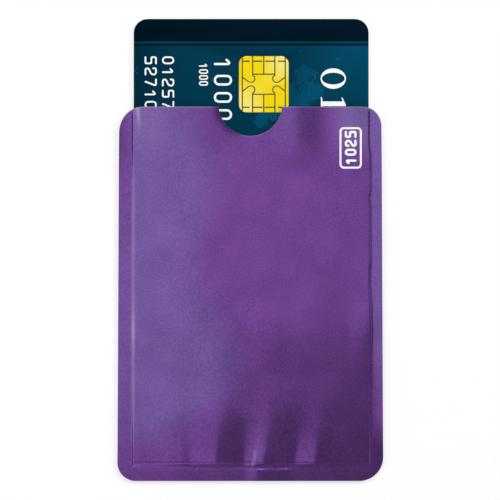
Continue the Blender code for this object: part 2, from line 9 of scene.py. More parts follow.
import bmesh
import bpy
import numpy as np
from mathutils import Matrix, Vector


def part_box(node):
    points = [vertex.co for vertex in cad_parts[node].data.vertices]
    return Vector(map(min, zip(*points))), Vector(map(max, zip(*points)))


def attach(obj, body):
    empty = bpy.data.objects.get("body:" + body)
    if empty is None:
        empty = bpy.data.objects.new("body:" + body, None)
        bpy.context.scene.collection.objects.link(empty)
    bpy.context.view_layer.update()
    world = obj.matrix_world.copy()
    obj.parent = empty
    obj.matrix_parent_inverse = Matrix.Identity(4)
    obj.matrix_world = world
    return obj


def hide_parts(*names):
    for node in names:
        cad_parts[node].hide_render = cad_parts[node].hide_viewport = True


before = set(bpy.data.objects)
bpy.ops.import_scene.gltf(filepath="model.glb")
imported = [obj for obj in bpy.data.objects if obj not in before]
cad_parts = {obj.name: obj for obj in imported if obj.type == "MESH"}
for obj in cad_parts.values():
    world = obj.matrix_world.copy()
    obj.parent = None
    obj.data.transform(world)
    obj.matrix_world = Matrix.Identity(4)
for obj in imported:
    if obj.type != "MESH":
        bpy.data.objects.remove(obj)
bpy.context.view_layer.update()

mm = 0.001

# %% [markdown]
# Colours are written as hex values, the way a print shop does, but shaders work in linear light, so one
# function turns the one into the other. Materials are node trees, and another function adds any node. Its
# inputs are plain values or other nodes' outputs, which are then linked. Four common nodes get short names.


# %% Colour and node helpers
def linear(colour_hex):
    """Each channel c becomes c/12.92 up to 0.04045, and ((c + 0.055)/1.055) to the power 2.4 above that."""
    channels = [int(colour_hex[place:place + 2], 16) / 255 for place in (0, 2, 4)]
    return [c / 12.92 if c <= 0.04045 else ((c + 0.055) / 1.055) ** 2.4 for c in channels] + [1]


def plug(tree, socket, value):
    """Puts a value or a hex colour into a socket, or links an output to it."""
    if isinstance(value, bpy.types.NodeSocket):
        tree.links.new(value, socket)
    else:
        socket.default_value = linear(value) if isinstance(value, str) else value


def add_node(tree, kind, inputs=None, **settings):
    """Adds one node, plugs its inputs and returns its outputs."""
    node = tree.nodes.new("ShaderNode" + kind)
    for name, value in settings.items():
        setattr(node, name, value)
    for name, value in (inputs or {}).items():
        plug(tree, node.inputs[name], value)
    return node.outputs


def noise(tree, place, grain, detail=2.0):
    """Soft random patches of the grain's size in mm, from 0 to 1."""
    return add_node(tree, "TexNoise", {"Vector": place, "Scale": 1 / (grain * mm), "Detail": detail})[0]


def rescale(tree, value, *reach, **settings):
    """Spreads what lies between the reach's first two numbers over its last two, or else over 0 to 1."""
    sockets = ("From Min", "From Max", "To Min", "To Max")
    return add_node(tree, "MapRange", {"Value": value, **dict(zip(sockets, reach))}, **settings)[0]


def blend(tree, share, first, second):
    """The first colour at share 0 and the second at share 1."""
    return add_node(tree, "Mix", {0: share, 6: first, 7: second}, data_type="RGBA")[2]


def reckon(tree, operation, first, second, kind="Math"):
    """One step of arithmetic with two values, or with two vectors where the kind is VectorMath."""
    return add_node(tree, kind, {0: first, 1: second}, operation=operation)[0]


def feed(tree, **sources):
    """Plugs into the Principled shader's sockets, named with underscores for spaces."""
    for name, source in sources.items():
        plug(tree, tree.nodes["Principled BSDF"].inputs[name.replace("_", " ")], source)


def new_finish(name, roughness, metallic=0.0, **sockets):
    """A material whose Principled shader has these even values, its tree, and the place on the piece."""
    finish = bpy.data.materials.new(name)
    finish.use_nodes = True
    tree = finish.node_tree
    feed(tree, Roughness=roughness, Metallic=metallic, **sockets)
    return finish, tree, add_node(tree, "TexCoord")["Object"]


# %% [markdown]
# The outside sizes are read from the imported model. The seals' widths, the corners' radii and the laminate's
# thicknesses are the real sizes that it was made to. The mouth is towards +Y. The walls are worked out in mm.

# %% Sizes of the sleeve
back_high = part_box("back_outer_skin")[1]
half_width, half_length = back_high.x / mm, back_high.y / mm
card_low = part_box("card_back_overlay")[0]
card_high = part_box("card_front_overlay")[1]
left_seal_width = 3.15
right_seal_width = 2.75
bottom_seal_width = 3.0
top_left_radius = 6.0
top_right_radius = 4.6
bottom_left_radius = 4.2
bottom_right_radius = 5.5
mouth_draw_in = 0.4
notch_radius = 7.3
notch_depth = 6.72
notch_centre_above_edge = notch_radius - notch_depth
notch_half_width = math.sqrt(notch_radius**2 - notch_centre_above_edge**2)
pocket_left = left_seal_width - half_width
pocket_right = half_width - right_seal_width
pocket_width = pocket_right - pocket_left
pocket_floor = bottom_seal_width - half_length
print("sleeve (mm):", round(half_width * 2, 2), "by", round(half_length * 2, 2))

# %% Thickness of the laminate and height of the step to the seals
skin_thickness = 0.10
foil_thickness = 0.03
liner_thickness = 0.05
laminate_gap = 0.02
wall_thickness = skin_thickness + foil_thickness + liner_thickness + 2 * laminate_gap
seal_thickness = 0.04
card_running_gap = 0.06
card_middle = (card_low.z + card_high.z) / 2 / mm
front_wall_bottom = card_high.z / mm + card_running_gap
seal_step = front_wall_bottom - card_middle - seal_thickness / 2 - laminate_gap
step_start = 0.05
step_run = 0.49
foot_run = 1.1
print("wall (mm):", round(wall_thickness, 3), "step to the seals (mm):", round(seal_step, 3))

# %% [markdown]
# Both walls are punched to one outline. A cut through a finer mesh would leave a ragged rim of odd
# triangles. Instead a grid is bent to the outline, like graph paper on rubber: its outer rows are pulled in
# round the corners and down round the thumb notch, and the pull fades out inside.


# %% The punched outline as a bent grid
def corner_pull(edge_distance, radius):
    """radius - sqrt(radius^2 - (radius - distance)^2) within the radius of the side edge, and 0 beyond."""
    reach = np.clip(radius - edge_distance, 0, radius)
    return radius - np.sqrt(radius**2 - reach**2)


def notch_drop(x):
    """Depth of the thumb notch's circle below the mouth's edge, 0 beside the notch."""
    reach = np.minimum(np.abs(x), notch_half_width)
    return np.sqrt(notch_radius**2 - reach**2) - notch_centre_above_edge


def seal_shares(x):
    """How far x is across the left and the right seal, 0 at the pocket and 1 at the cut edge."""
    across_left = np.clip((pocket_left - x) / left_seal_width, 0, 1)
    return across_left, np.clip((x - pocket_right) / right_seal_width, 0, 1)


def side_pulls(x, left_radius, right_radius):
    """The pull of the left and of the right corner together."""
    return corner_pull(x + half_width, left_radius) + corner_pull(half_width - x, right_radius)


def fit_to_outline(x, y):
    """y moves by the pull times a share, 1 at the edge and 0 inside. The seals lean in towards the mouth."""
    fade_factor = 2.2
    from_bottom, from_top = y + half_length, half_length - y
    rise = side_pulls(x, bottom_left_radius, bottom_right_radius)
    drop = side_pulls(x, top_left_radius, top_right_radius) + notch_drop(x)
    rise_share = np.clip(1 - from_bottom / np.maximum(bottom_seal_width, fade_factor * rise), 0, 1)
    drop_share = np.clip(1 - from_top / np.maximum(notch_depth, fade_factor * drop), 0, 1)
    lean = mouth_draw_in * from_bottom / (2 * half_length)
    from_left, from_right = seal_shares(x)
    return x + lean * (from_left - from_right), y + rise * rise_share - drop * drop_share


# %% [markdown]
# The grid's lines lie close together where the sheet bends sharply: at the cut edge, at the step beside the
# seals, in the pleats and round the notch.


# %% Lines of the grid
def ramp(*stretches):
    """Joins evenly spaced stretches, each (start, end, spacing), into one rising row of places."""
    pieces = [np.linspace(a, b, max(2, round(abs(b - a) / gap) + 1)) for a, b, gap in stretches]
    return np.concatenate(pieces)


def sorted_lines(*groups):
    """One rising row without doubles."""
    return np.unique(np.concatenate(groups).round(6))


edge_lines = np.array((0, 0.06, 0.13, 0.25))
corner_angles = np.arange(0, 90, 6)
corner_sweep = 1 - np.cos(np.radians(corner_angles))
left_edge = bottom_left_radius * corner_sweep
left_edge = left_edge[left_edge < left_seal_width - step_start] - half_width
right_edge = half_width - bottom_right_radius * corner_sweep
right_edge = right_edge[right_edge > pocket_right + step_start]
notch_angles = np.linspace(-83, 83, 43)
notch_lines = notch_radius * np.sin(np.radians(notch_angles))
step_lines, crease_lines, groove_lines = 0.06, 0.15, 0.09
crease_run, groove_run = 2.4, 0.9
seam_widening = 0.24
left_foot, right_foot = pocket_left + step_start, pocket_right - step_start
front_foot = pocket_floor + step_start
sparse_factor = 1.5


def wall_columns(spacing):
    """X of the lines along the sleeve."""
    inner_left, inner_right = left_foot + step_run, right_foot - step_run
    crease_end, right_end = inner_left + crease_run, right_foot + seam_widening
    return sorted_lines(
        left_edge,
        notch_lines,
        right_edge,
        ramp((left_foot, inner_left, step_lines), (inner_right, right_end, step_lines)),
        ramp((inner_left, crease_end, min(spacing, crease_lines))),
        ramp((crease_end, -notch_half_width, spacing), (notch_half_width, inner_right, spacing)),
        (left_foot - step_lines, inner_right - step_lines, right_end + step_lines),
    )


def wall_rows(spacing):
    """Y of the lines across the sleeve."""
    groove_start, foot_end = front_foot - groove_run, front_foot + foot_run
    pleats_end, mouth_start = pocket_floor + 20, half_length - 15
    return sorted_lines(
        edge_lines - half_length,
        half_length - edge_lines,
        ramp((-half_length, groove_start, spacing), (groove_start, front_foot, groove_lines)),
        ramp((front_foot, foot_end, step_lines), (foot_end, pleats_end, spacing)),
        ramp((pleats_end, mouth_start, sparse_factor * spacing), (mouth_start, half_length, spacing)),
    )


fine_columns, fine_rows = wall_columns(0.33), wall_rows(0.4)
plain_columns, plain_rows = wall_columns(0.9), wall_rows(0.9)
print("fine grid:", len(fine_columns), "by", len(fine_rows), "lines")

# %% [markdown]
# The wall's height is a sum of simple forms, each a function of x and y. Three soft building blocks do most
# of it: a smooth step, a bell, and a zigzag with rounded corners, which is what a fold is.


# %% Soft steps, bells and folds
def ease(value, start=0, end=1):
    """3t^2 - 2t^3, a smooth rise from 0 to 1, where t goes evenly from 0 at the start to 1 at the end."""
    share = np.clip((value - start) / (end - start), 0, 1)
    return share * share * (3 - 2 * share)


def bell(distance, width):
    """e to the power -(distance/width)^2, a smooth hill that is 1 at its top."""
    return np.exp(-((distance / width) ** 2))


def folded(x, places, heights, softness):
    """
    A zigzag through (place, height) with soft corners. It is the first slope's line plus, at each corner, the
    change of slope times (d + sqrt(d^2 + softness^2)) / 2, where d is the distance past the corner.
    """
    slopes = [(heights[n + 1] - heights[n]) / (places[n + 1] - places[n]) for n in range(len(places) - 1)]
    height = heights[0] + slopes[0] * (x - places[0])
    for n in range(1, len(slopes)):
        past = x - places[n]
        height = height + (slopes[n] - slopes[n - 1]) * (past + np.sqrt(past**2 + softness**2)) / 2
    return height


# %% [markdown]
# Over the card the wall is slightly domed. The ridge runs down the left side and wanders towards the middle
# lower down. The wall falls from it to the right and rises again at the seal, with a low swelling. Long,
# low waves cross it. Height is only ever added, so the card still slides freely below.

# %% Dome, swelling and waves
dome_height = 0.28
dome_fade_at_floor = 14
dome_loss_at_mouth = 0.45
dome_softness_share = 0.07
dome_places = ((0, 0), (0.20, 0.38), (0.42, 0.76), (0.86, 0.86), (1, 1))
dome_heights = ((0.05, 0.05), (1, 1), (0.22, 0.22), (0.02, 0.10), (0, 0))
right_rise = 0.4
swell_height = 0.11
wave_height = 0.015
waves = ((14, 60, 0.4, 1.0), (-19, 90, 2.1, 1.0), (27, -45, 4.4, 0.8))


def dome(across, y):
    """
    A folded line. Each corner has a place and a height high up, and another place and height low down. The
    last one also rises in a bell along y. The whole is lower near the mouth and at the floor.
    """
    low_share = ease(y, 6, -10)
    places = [high + (low - high) * low_share for high, low in dome_places]
    heights = [high + (low - high) * low_share for high, low in dome_heights]
    heights[-1] = right_rise * bell(y + 2, 15)
    shape = np.maximum(folded(across, places, heights, dome_softness_share), 0)
    shape = shape * (1 - dome_loss_at_mouth * ease(y, 5, 35))
    return shape * ease(y, pocket_floor, pocket_floor + dome_fade_at_floor)


def seam_swell(x, y):
    """A bell along y times a smooth rise towards the right seam."""
    towards_seam = ease(x, pocket_right - 5.6, pocket_right - 0.6)
    return swell_height * bell(y + 7.5, 7) * towards_seam


def low_waves(x, y):
    """Sines in three directions, (1 + sin(2 pi (x/a + y/b) + c)) / 2 each, so never below 0."""
    return sum(
        weight * (1 + np.sin(2 * math.pi * (x / a + y / b) + shift)) / 2
        for a, b, shift, weight in waves
    )


# %% [markdown]
# Near the mouth nothing holds the wall down: it lifts on both sides of the notch and dips at the notch. And
# thumbs that push the card out have bent it up round the notch's left side.

# %% The mouth's lift and the thumbs' fold
mouth_height = 0.45
mouth_length, mouth_full_length = 18.0, 6.75
mouth_softness_share = 0.03
mouth_shares = (
    (0, 0.2), (0.12, 0.8), (0.26, 0.76), (0.39, 0.13), (0.44, 0.03), (0.5, 0.15),
    (0.568, 0.48), (0.682, 0.8), (0.8, 0.08), (0.84, 0.02), (0.91, 0.42), (1, 0.36),
)
thumb_height, thumb_width, thumb_rim = 0.11, 5, 1.3


def mouth_lift(across, y):
    """The folds of the mouth, fading with the distance from its edge."""
    lift = np.maximum(folded(across, *zip(*mouth_shares), mouth_softness_share), 0)
    return lift * ease(y, half_length - mouth_length, half_length - mouth_full_length)


def thumb_fold(x, y):
    """A wide bell round the notch, less e to the power -(distance/rim), which keeps the rim itself low."""
    from_rim = np.maximum(np.hypot(x, y - half_length - notch_centre_above_edge) - notch_radius, 0)
    swelling = bell(from_rim, thumb_width) - np.exp(-from_rim / thumb_rim)
    return thumb_height * swelling * ease(x, 3, -5)


# %% [markdown]
# Below the card the pouch is creased into pleats, where stiff cards were pushed in and the paper buckled
# against the seal. A pleat is sharp at the seal, where it is held, and it leans and dissolves on its way
# up, so each fold has a place at the seal and a place at its upper end.

# %% Pleats above the bottom seal
pleat_height = 0.50
pleat_length = 22.0
sharp_softness, loose_softness = 0.15, 4.0
loosening_power, fading_power = 1.5, 1.4
pleat_shares = (
    (0, 0, 0.25), (0.15, 0.14, 0.55), (0.215, 0.21, 0.58), (0.245, 0.24, 0.52),
    (0.349, 0.385, 1), (0.472, 0.46, 0.12), (0.545, 0.6, 0.98), (0.68, 0.71, 0.14),
    (0.762, 0.805, 0.74), (0.815, 0.88, 0.32), (1, 1, 0.05),
)


def pleats(across, y):
    """The zigzag at this height above the seal, rounder and lower further up."""
    up = np.clip((y - pocket_floor) / pleat_length, 0, 1)
    places = [low + (high - low) * up for low, high, height in pleat_shares]
    heights = [height for low, high, height in pleat_shares]
    softness = sharp_softness + (loose_softness - sharp_softness) * up**loosening_power
    folds = folded(across, places, heights, softness / pocket_width)
    return np.maximum(folds, 0) * (1 - up) ** fading_power


# %% [markdown]
# Three small marks finish the wall. A wedge at the mouth's left corner is where the seal begins to pull the
# wall down. A nick in the middle pleat runs on as a wrinkle across the bottom seal. And the edge of the
# heated jaw that made that seal has pressed a shallow groove along it.

# %% Wedge, nick and jaw line
wedge_top, wedge_end = (-26.15, 43.0), (-25.7, 37.2)
wedge_height, wedge_reach = 0.30, 5
wedge_least_run, wedge_added_run = 0.08, 0.42
nick_top, nick_end = (1.45, -34.6), (0.55, -39.8)
nick_height, nick_run, nick_reach = 0.07, 0.11, 2
groove_half_width, groove_depth = 0.38, 0.009
wrinkle_left, wrinkle_top, wrinkle_right = -1.5, 1.7, 11
wrinkle_height, wrinkle_fade = 0.13, 0.5


def past_line(x, y, start, end):
    """Distance to the right of a slanting line, and the share of its length from its start."""
    share = (y - start[1]) / (end[1] - start[1])
    return x - (start[0] + (end[0] - start[0]) * share), share


def lip(past, run, reach):
    """A step up, (1 + tanh(past/run)) / 2, that dies away over the reach beyond it."""
    return (1 + np.tanh(past / run)) / 2 * np.exp(-np.maximum(past, 0) / reach)


def wedge(x, y):
    """A lip along a slanting line, as wide and as high as the distance from its lower end."""
    past, share = past_line(x, y, wedge_end, wedge_top)
    share = np.clip(share, 0, 1)
    return wedge_height * share * lip(past, wedge_least_run + wedge_added_run * share, wedge_reach)


def nick(x, y):
    """A narrow lip along a line, fading over its upper half."""
    past, share = past_line(x, y, nick_top, nick_end)
    return nick_height * lip(past, nick_run, nick_reach) * ease(share, 0, 0.5)


def jaw_groove(x, y):
    """A bell along y, upside down, between the side seals."""
    held = ease(x, pocket_left, pocket_left + 1) * ease(x, pocket_right, pocket_right - 1)
    return -groove_depth * held * bell(y - pocket_floor, groove_half_width)


def wrinkle(x, y):
    """A short rise and a long fall along x, below the pocket's floor."""
    along = ease(x, wrinkle_left, wrinkle_top) * ease(x, wrinkle_right, wrinkle_top)
    return wrinkle_height * along * ease(y, pocket_floor, pocket_floor - wrinkle_fade)


# %% [markdown]
# The last form makes it a pouch: the step from the pocket down to the seals, wider half-way down on the
# right, where the seam has given. The seals curl up towards their cut edges, most near the mouth, as
# laminated paper does, and the bottom one droops. Walls and seals share this form, being fused there.

# %% The whole front and back
corner_rounding = 0.3
curl_power = 1.5
left_curl, right_curl, floor_droop = 0.22, 0.16, 0.015


def pocket_share(x, y):
    """0 on the seals and 1 inside the pocket: an even slope over the step, with its two corners rounded."""
    wider = seam_widening * bell(y + 3, 13)
    from_left, from_floor = (x - left_foot) / step_run, (y - front_foot) / foot_run
    from_right = (right_foot + wider - x) / (step_run + wider)
    share = np.clip(np.minimum(np.minimum(from_left, from_right), from_floor), 0, 1)
    return (1 - corner_rounding) * share + corner_rounding * ease(share)


def seal_form(x, y):
    """Power 1.5 of the share of the seal's width, times a share that grows towards the mouth."""
    left, right = (share**curl_power for share in seal_shares(x))
    low = np.clip((pocket_floor - y) / bottom_seal_width, 0, 1) ** curl_power
    left, right = left * ease(y, 16, 36), right * ease(y, -40, -26)
    return left_curl * left + right_curl * right - floor_droop * low + wrinkle(x, y)


def front_form(x, y):
    """Height above the wall's lowest place over the card."""
    inside = pocket_share(x, y)
    across = np.clip((x - pocket_left) / pocket_width, 0, 1)
    pocket = dome_height * dome(across, y) + wave_height * low_waves(x, y)
    pocket = pocket + mouth_height * mouth_lift(across, y) + pleat_height * pleats(across, y)
    pocket = pocket + wedge(x, y) + nick(x, y) + thumb_fold(x, y) + seam_swell(x, y)
    return inside * pocket + (1 - inside) * (seal_form(x, y) + jaw_groove(x, y) - seal_step)


def back_form(x, y):
    """The back lies flat below the card and rises to the seals."""
    return (seal_step + seal_form(x, y)) * (1 - pocket_share(x, y))


# %% [markdown]
# Two shares pale the lacquer's colour. The first holds the paper's pale cut edge at the mouth, a little
# paleness at the mouth's corners, and painted highlights along the left seal's crest, the wedge and the
# nick. The second is a painted sheen, a greyer, paler violet down the left side, at the mouth's right
# corner, on the right seal, beside the notch and on the middle pleat.

# %% Where the lacquer is paler: its cut edge, painted highlights and painted sheen
# Where the painted sheen lies on the left, and how strong it is in each zone.
sheen_edge = (
    (-31, 0.18), (-24, 0.38), (-16, 0.44), (-7, 0.36), (5, 0.25), (20, 0.30), (31, 0.34), (38, 0.25),
)
sheen_fade_share = 0.24
least_seal_sheen, added_seal_sheen = 0.15, 0.45
right_seal_sheen, notch_sheen, pleat_sheen = 0.75, 0.5, 0.3
# Strengths of the pale cut edge, the painted highlights on crest, wedge and nick, and the corners.
edge_wear, crest_highlight, wedge_highlight, nick_highlight, corner_wear = 0.7, 0.24, 0.6, 0.25, 0.08


def painted_sheen_share(x, y):
    """Painted sheen: the most of five soft zones. The left one lies to the left of a line through (mm,
    share).
    """
    across, up = (x - pocket_left) / pocket_width, y - pocket_floor
    # Every zone here is painted sheen: a greyer, paler violet where the lamps' sheen would show.
    edge = np.interp(y, *zip(*sheen_edge)) + sheen_fade_share / 2
    on_seal = least_seal_sheen + added_seal_sheen * ease(y, 26, 6)
    left = ease(across, edge, edge - sheen_fade_share) * ease(up, 1, 12)
    left = left * (on_seal + (1 - on_seal) * pocket_share(x, y))
    corner = ease(across, 0.8, 0.94) * ease(y, 29, 38)
    right_seal = ease(x, pocket_right, pocket_right + 0.5) * ease(y, -26, -10)
    by_notch = notch_sheen * bell(np.hypot(x - 8.5, y - 39.5), 3.6)
    along_pleat = ease(up, 16, 8) * ease(up, 0, 2)
    on_pleat = pleat_sheen * along_pleat * bell(x - 1.6, 1.1)
    return np.maximum.reduce([left, corner, right_seal_sheen * right_seal, by_notch, on_pleat])


def wear_and_highlight_share(x, y, from_edge):
    """Bells for the pale cut edge, painted highlights on the left seal's crest, wedge and nick, and the
    corners.
    """
    # A painted highlight along the left seal's crest, brightest about 8 mm below the middle.
    along_crest = ease(y, -37, -23) * ease(y, 33, 25)
    along_crest = along_crest * (0.85 + 1.2 * bell(y + 8, 4))
    pale_share = edge_wear * bell(from_edge, 0.11)
    pale_share = pale_share + crest_highlight * along_crest * bell(x - pocket_left - 0.5, 0.38)
    # A painted highlight on the wedge.
    past, share = past_line(x, y, wedge_end, wedge_top)
    pale_share = pale_share + wedge_highlight * np.clip(share, 0, 1) * bell(past - 0.3, 0.4)
    # A painted highlight along the nick.
    past, share = past_line(x, y, nick_top, nick_end)
    pale_share = pale_share + nick_highlight * ease(share, 0, 0.5) * ease(share, 1.1, 0.9) * bell(past, 0.28)
    at_corners = ease(np.abs(x), 17, 23) * ease(y, 31, 37)
    return pale_share + corner_wear * at_corners * pocket_share(x, y)


# %% [markdown]
# The right seam isn't straight. The card's edge has pushed it a quarter of a millimetre this way and that,
# so the front's grid lines follow a course of their own there.

# %% The right seam's wander
seam_course = (
    (-40, 0.0), (-20, 0.12), (-8, 0.25), (-3, 0.05), (2, -0.22), (5, -0.2), (8, 0.04),
    (20, 0.0), (22, -0.25), (24, 0.1), (32, 0.02), (35, -0.28), (43, -0.28),
)
wander_reach = 1.5


def seam_wander(x, y):
    """The seam's course in mm, times a share that falls to 0 at the edge and inwards."""
    course = np.interp(y, *zip(*seam_course))
    return course * ease(x, half_width, pocket_right) * bell(np.maximum(pocket_right - x, 0), wander_reach)


# %% [markdown]
# A sheet is a closed shell: the grid at its lower height, the same grid at its upper height, and a narrow
# band round the rim where the punch cut it. Its shares of paleness, with painted highlights, and of painted
# sheen go with it as attributes.


# %% Building a sheet
def shaded(mesh):
    """Smooth shading, but with sharp edges where faces meet at more than 50 degrees."""
    mesh.shade_smooth()
    mesh.set_sharp_from_angle(angle=math.radians(50))
    return mesh


def sheet_mesh(name, columns, rows, bottom, thickness, form, wander_share=0):
    """Quads between neighbouring grid points, above and below, and a rim of quads that joins them."""
    flat_x, flat_y = np.meshgrid(columns, rows)
    x, y = fit_to_outline(flat_x, flat_y)
    lower = bottom + form(x, y)
    moved_x = x + wander_share * seam_wander(x, y)
    levels = (lower, lower + thickness)
    points = mm * np.concatenate([np.stack([moved_x, y, z], -1).reshape(-1, 3) for z in levels])
    number = np.arange(x.size).reshape(x.shape)
    quads = np.stack([number[:-1, :-1], number[:-1, 1:], number[1:, 1:], number[1:, :-1]], -1).reshape(-1, 4)
    rim = np.concatenate([number[0, :-1], number[:-1, -1], number[-1, :0:-1], number[:0:-1, 0]])
    onward = np.roll(rim, -1)
    band = np.stack([rim, onward, onward + x.size, rim + x.size], -1)
    faces = np.concatenate([quads[:, ::-1], quads + x.size, band])
    mesh = bpy.data.meshes.new(name)
    mesh.from_pydata(points.tolist(), [], faces.tolist())
    # Point attributes: paleness with painted highlights, and painted sheen.
    for attribute, share in (("wear_and_highlight", wear_and_highlight_share(x, y, half_length - flat_y)), ("painted_sheen", painted_sheen_share(x, y))):
        mesh.attributes.new(attribute, "FLOAT", "POINT").data.foreach_set("value", np.tile(share.ravel(), 2))
    return shaded(mesh)


def new_object(name, data):
    """An object with this data, in the scene."""
    thing = bpy.data.objects.new(name, data)
    bpy.context.scene.collection.objects.link(thing)
    return thing


def add_piece(name, mesh, body, finish, nodes=()):
    """A piece that rides a body, takes a finish and stands for the named nodes."""
    piece = new_object(name, mesh)
    mesh.materials.append(finish)
    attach(piece, body)
    if nodes:
        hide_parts(*nodes)
    print(name, len(mesh.polygons), "faces")


# %% [markdown]
# The outer skin is paper with a vacuum-metallised face under a violet lacquer. Aluminium gives it a
# mirror's depth, the lacquer tints it, and the lacquer's gloss adds a pale sheen. The paper's fibres press
# through as fine grain, drawn at 0.35 mm, coarser than the real 0.05 mm, so that it shows.

# %% Finish: violet metallised paper
paper_grain, paper_cloud = 0.35, 8
grain_weight = 0.68

# Deep and pale violet in grain and clouds, greyer where sheen is painted, and paler at the cut edge and
# where highlights are painted.
violet_paper, tree, place = new_finish("metallised_paper", 0.17, 1.0, Coat_Weight=0.4, Coat_Roughness=0.2)
speckle, cloud = noise(tree, place, paper_grain, 3.0), noise(tree, place, paper_cloud, 3.0)
both = add_node(tree, "Mix", {0: grain_weight, 2: cloud, 3: speckle})[0]
share = rescale(tree, both, 0.34, 0.66)
full = blend(tree, share, "5c327f", "7d48a1")
# A greyer, paler violet for the painted sheen.
sheen_violet = blend(tree, share, "60468a", "7e5dab")
painted_sheen, wear_and_highlight = (add_node(tree, "Attribute", attribute_name=mark)["Fac"] for mark in ("painted_sheen", "wear_and_highlight"))
# Pale violet b7a4c6 for the cut edge and the painted highlights.
paled = blend(tree, wear_and_highlight, blend(tree, painted_sheen, full, sheen_violet), "b7a4c6")
feed(tree, Base_Color=paled, Roughness=rescale(tree, speckle, 0, 1, 0.145, 0.195))

# %% [markdown]
# Behind the skin lie 30 microns of rolled foil, which is the shield, and the film that melts where the
# heated jaws press. Foil has fine lines along the rolling direction, and the film is a hazy grey over it.
# Both show only at the cut edges and inside the mouth.

# %% Finishes: rolled foil and sealing film
foil_line_width, foil_line_share = 0.4, 0.04

# Fine lines, 0.4 mm wide and 25 times as long, vary the colour and the gloss.
foil, tree, place = new_finish("rolled_aluminium_foil", 0.25, 1.0)
drawn_out = add_node(tree, "Mapping", {"Vector": place, "Scale": (1, foil_line_share, 1)})[0]
lines = noise(tree, drawn_out, foil_line_width)
gloss = rescale(tree, lines, 0, 1, 0.16, 0.36)
feed(tree, Base_Color=blend(tree, lines, "c9cbce", "e6e7ea"), Roughness=gloss)


def drifting_finish(name, first_hex, second_hex, grain, roughness, metallic=0.0, **sockets):
    """A finish whose colour and gloss drift between two values, over patches of the grain's size in mm."""
    finish, tree, place = new_finish(name, roughness, metallic, **sockets)
    share = rescale(tree, noise(tree, place, grain, 3.0), 0.35, 0.65)
    gloss = rescale(tree, share, 0, 1, roughness * 0.85, roughness * 1.15)
    feed(tree, Base_Color=blend(tree, share, first_hex, second_hex), Roughness=gloss)
    return finish


sealing_film = drifting_finish("polyethylene_liner", "8f9297", "b4b7bb", 1.5, 0.45, 0.5)
fused_film = drifting_finish("fused_polyethylene", "7f8186", "9c9fa3", 1.0, 0.5, 0.3)

# %% [markdown]
# The walls are built from below. Only the front skin is seen at large, so it alone has the fine grid.

# %% The six sheets of the two walls
layers = (
    ("skin", "outer_skin", "outer_skin", violet_paper, skin_thickness),
    ("foil", "foil_shield", "foil", foil, foil_thickness),
    ("liner", "sealing_liner", "liner", sealing_film, liner_thickness),
)
walls = (
    ("back", back_form, 0, 0, layers),
    ("front", front_form, 1, front_wall_bottom, layers[::-1]),
)
for wall, form, wander_share, bottom, stack in walls:
    for layer, node, slot, finish, thickness in stack:
        name = f"{wall}_{layer}"
        columns, rows = (fine_columns, fine_rows) if name == "front_skin" else (plain_columns, plain_rows)
        mesh = sheet_mesh(name, columns, rows, bottom, thickness, form, wander_share)
        add_piece(name, mesh, "sleeve", finish, [f"{wall}_{node}"])
        bottom += thickness + laminate_gap
skin_top = bottom - laminate_gap

# %% [markdown]
# The seals are the liners' own film, fused into one thin band. Each is a sheet on the part of the grid that
# it covers, so it has the walls' outline and curl.

# %% The three seals
seal_bottom = card_middle - seal_thickness / 2
seal_joint_gap = 0.02
seals = (
    ("left_seal", "left_side_seal", sorted_lines(left_edge, [pocket_left]), plain_rows),
    ("right_seal", "right_side_seal", sorted_lines([pocket_right], right_edge), plain_rows),
    (
        "floor_seal",
        "bottom_seal",
        np.linspace(pocket_left + seal_joint_gap, pocket_right - seal_joint_gap, 40),
        np.linspace(-half_length, pocket_floor, 6),
    ),
)
for name, node, columns, rows in seals:
    mesh = sheet_mesh(name, columns, rows, seal_bottom, seal_thickness, seal_form)
    add_piece(name, mesh, "sleeve", fused_film, [node])

# %% [markdown]
# The card's face is offset print under a clear PVC film: a teal field that glows towards one corner, dark
# and light stripes across the leading end, and clusters of small squares. All of it follows from the place
# on the card. The film is nearly matt, so it mirrors the studio only faintly.

# %% The card's print
card_left, card_right, card_end, card_top = card_low.x, card_high.x, card_high.y, card_high.z
band_width = 5.15 * mm
light_line_end = band_width + 0.5 * mm
dark_line_end = light_line_end + 0.5 * mm
stripes = ((dark_line_end, "001c2c"), (light_line_end, "00405a"), (band_width, "001624"))
glow_length, glow_at_its_end = 22 * mm, 0.25
square_pitch, square_gap, square_strength = 0.56 * mm, 0.09 * mm, 0.34
cluster_size = 5
cluster_heart = (9 * mm, card_end - 18 * mm, card_top)

# The glow is a product of two shares. A square is drawn where its cell's noise is above its rarity.
card_print, tree, place = new_finish("teal_print_under_pvc_film", 0.42, Specular_IOR_Level=0.02)
axes = add_node(tree, "SeparateXYZ", {"Vector": place})
to_right = rescale(tree, axes["X"], card_left, card_right)
to_end = rescale(tree, axes["Y"], card_end - glow_length, card_end - dark_line_end, glow_at_its_end, 1.0)
field = blend(tree, reckon(tree, "MULTIPLY", to_right, to_end), "003246", "014a67")
cell = reckon(tree, "SNAP", place, (square_pitch,) * 3, "VectorMath")
from_heart = add_node(tree, "VectorMath", {0: cell, 1: cluster_heart}, operation="DISTANCE")["Value"]
rarity = rescale(tree, from_heart, 6 * mm, 11 * mm, 0.44, 0.66)
chosen = reckon(tree, "GREATER_THAN", noise(tree, cell, cluster_size, 4.0), rarity)
in_cell = reckon(tree, "SUBTRACT", place, cell, "VectorMath")
sides = add_node(tree, "SeparateXYZ", {"Vector": in_cell})
near_side = reckon(tree, "MINIMUM", sides["X"], sides["Y"])
drawn = reckon(tree, "MULTIPLY", chosen, reckon(tree, "GREATER_THAN", near_side, square_gap))
colour = blend(tree, reckon(tree, "MULTIPLY", drawn, square_strength), field, "0a7298")
for from_end, stripe_hex in stripes:
    inside = reckon(tree, "GREATER_THAN", axes["Y"], card_end - from_end)
    colour = blend(tree, inside, colour, stripe_hex)
